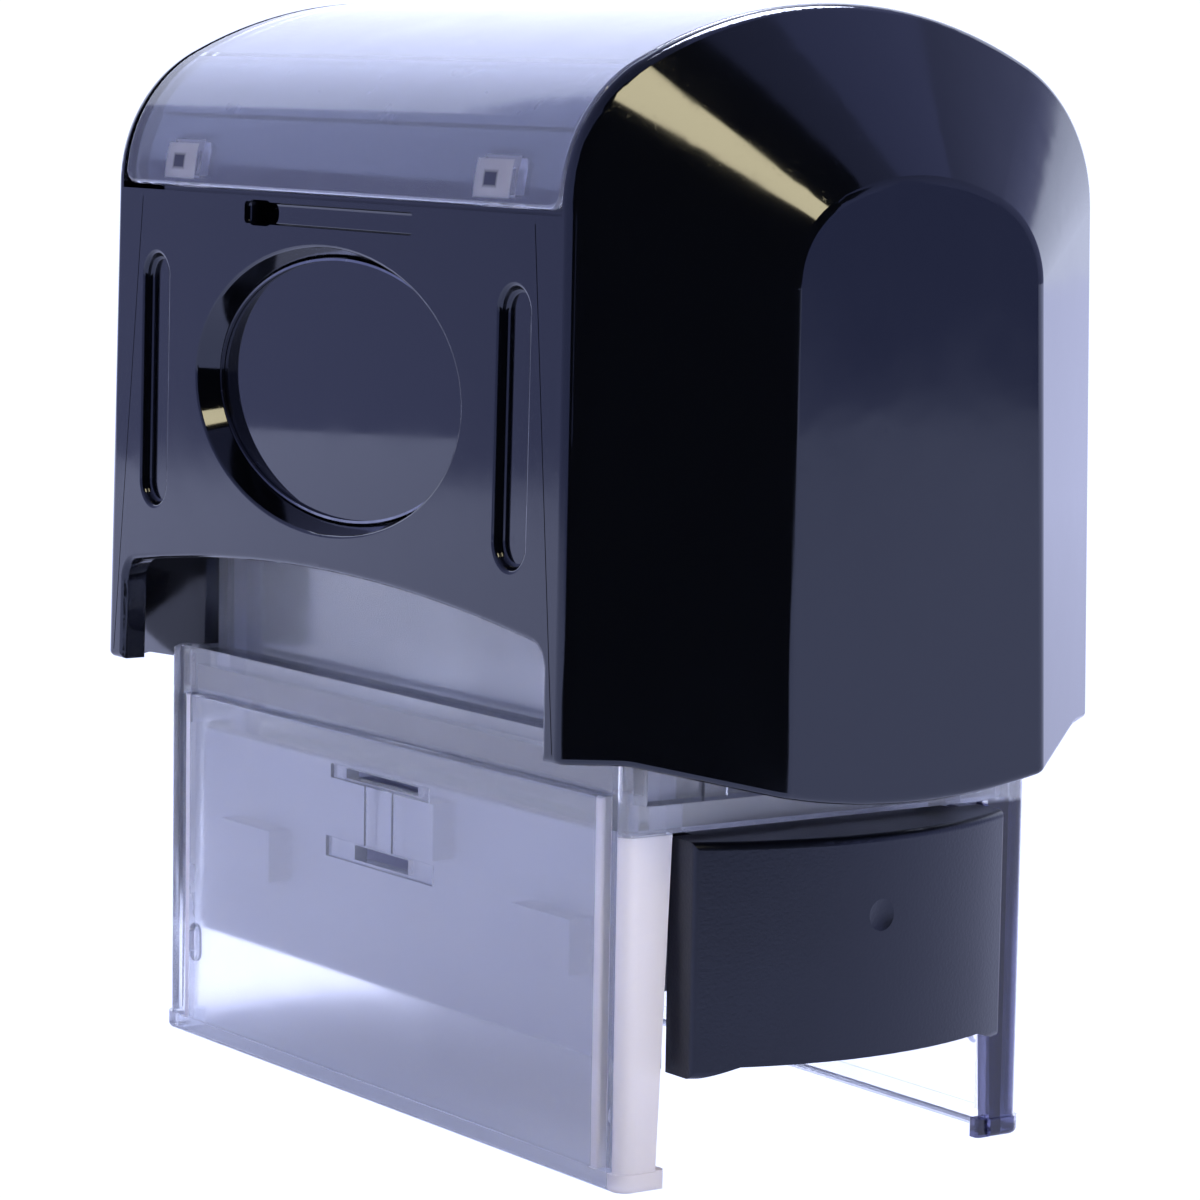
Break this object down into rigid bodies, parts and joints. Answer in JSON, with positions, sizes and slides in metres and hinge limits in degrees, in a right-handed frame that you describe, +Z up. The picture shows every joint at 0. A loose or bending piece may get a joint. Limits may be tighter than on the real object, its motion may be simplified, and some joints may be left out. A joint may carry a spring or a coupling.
{
  "type": "self inking stamp",
  "caption": "Self-inking hand stamp with a clear base, a black push-down cap, a clear lid and a slide-out ink cassette.",
  "frame": {"origin": "centre of the base's underside, on the surface that it stands on", "axes": "+Z up along the cap's travel, +X along the stamp towards the cassette's grip, -Y towards the front oval"},
  "size_m": [0.0904, 0.0514, 0.09],
  "materials": {
    "cap_plastic": "moulded high-gloss black ABS",
    "clear_plastic": "moulded clear styrene, slightly hazy",
    "lid_plastic": "moulded clear styrene, polished",
    "dark_plastic": "moulded satin dark grey ABS",
    "grey_plastic": "moulded grey acetal",
    "disc": "polished black acrylic",
    "ring": "bright trim",
    "card": "dark blue coated card",
    "felt": "felt soaked with black ink",
    "stamp_rubber": "red-brown printing rubber",
    "foam": "fine closed-cell foam",
    "steel": "drawn steel wire and pins"
  },
  "bodies": {
    "base": {"base_frame": "clear_plastic", "guide_plate_front": "grey_plastic", "guide_plate_rear": "grey_plastic", "end_cover_left": "dark_plastic", "return_spring_left": "steel", "return_spring_right": "steel"},
    "cassette": {"cassette_tray": "dark_plastic", "cassette_grip": "dark_plastic", "ink_pad": "felt"},
    "cap": {"cap_shell": "cap_plastic", "badge_disc_front": "disc", "badge_disc_rear": "disc", "trim_ring_front": "ring", "trim_ring_rear": "ring", "drive_yoke": "grey_plastic", "yoke_screws": "steel", "index_card": "card"},
    "lid": {"lid": "lid_plastic"},
    "carriage": {"carriage": "grey_plastic", "plate_cushion": "foam", "text_plate": "stamp_rubber", "axle_pin_left": "steel", "axle_pin_right": "steel"}
  },
  "joints": [
    {"name": "cap_push", "type": "slide", "parent": "base", "child": "cap", "axis": [0, 0, -1], "range_m": [0, 0.01385], "stiffness_N_per_m": 600, "springref_m": -0.01, "deforming": ["return_spring_left", "return_spring_right"]},
    {"name": "plate_turn", "type": "hinge", "parent": "cap", "child": "carriage", "pos_m": [0, 0, 0.01785], "axis": [1, 0, 0], "range_deg": [0, 180]},
    {"name": "cassette_slide", "type": "slide", "parent": "base", "child": "cassette", "axis": [1, 0, 0], "range_m": [0, 0.082]},
    {"name": "lid_lift", "type": "slide", "parent": "cap", "child": "lid", "axis": [0, 0, 1], "range_m": [0, 0.03]}
  ],
  "couplings": [
    {"joint": "plate_turn", "follows": "cap_push", "rad_per_m": 226.8}
  ]
}
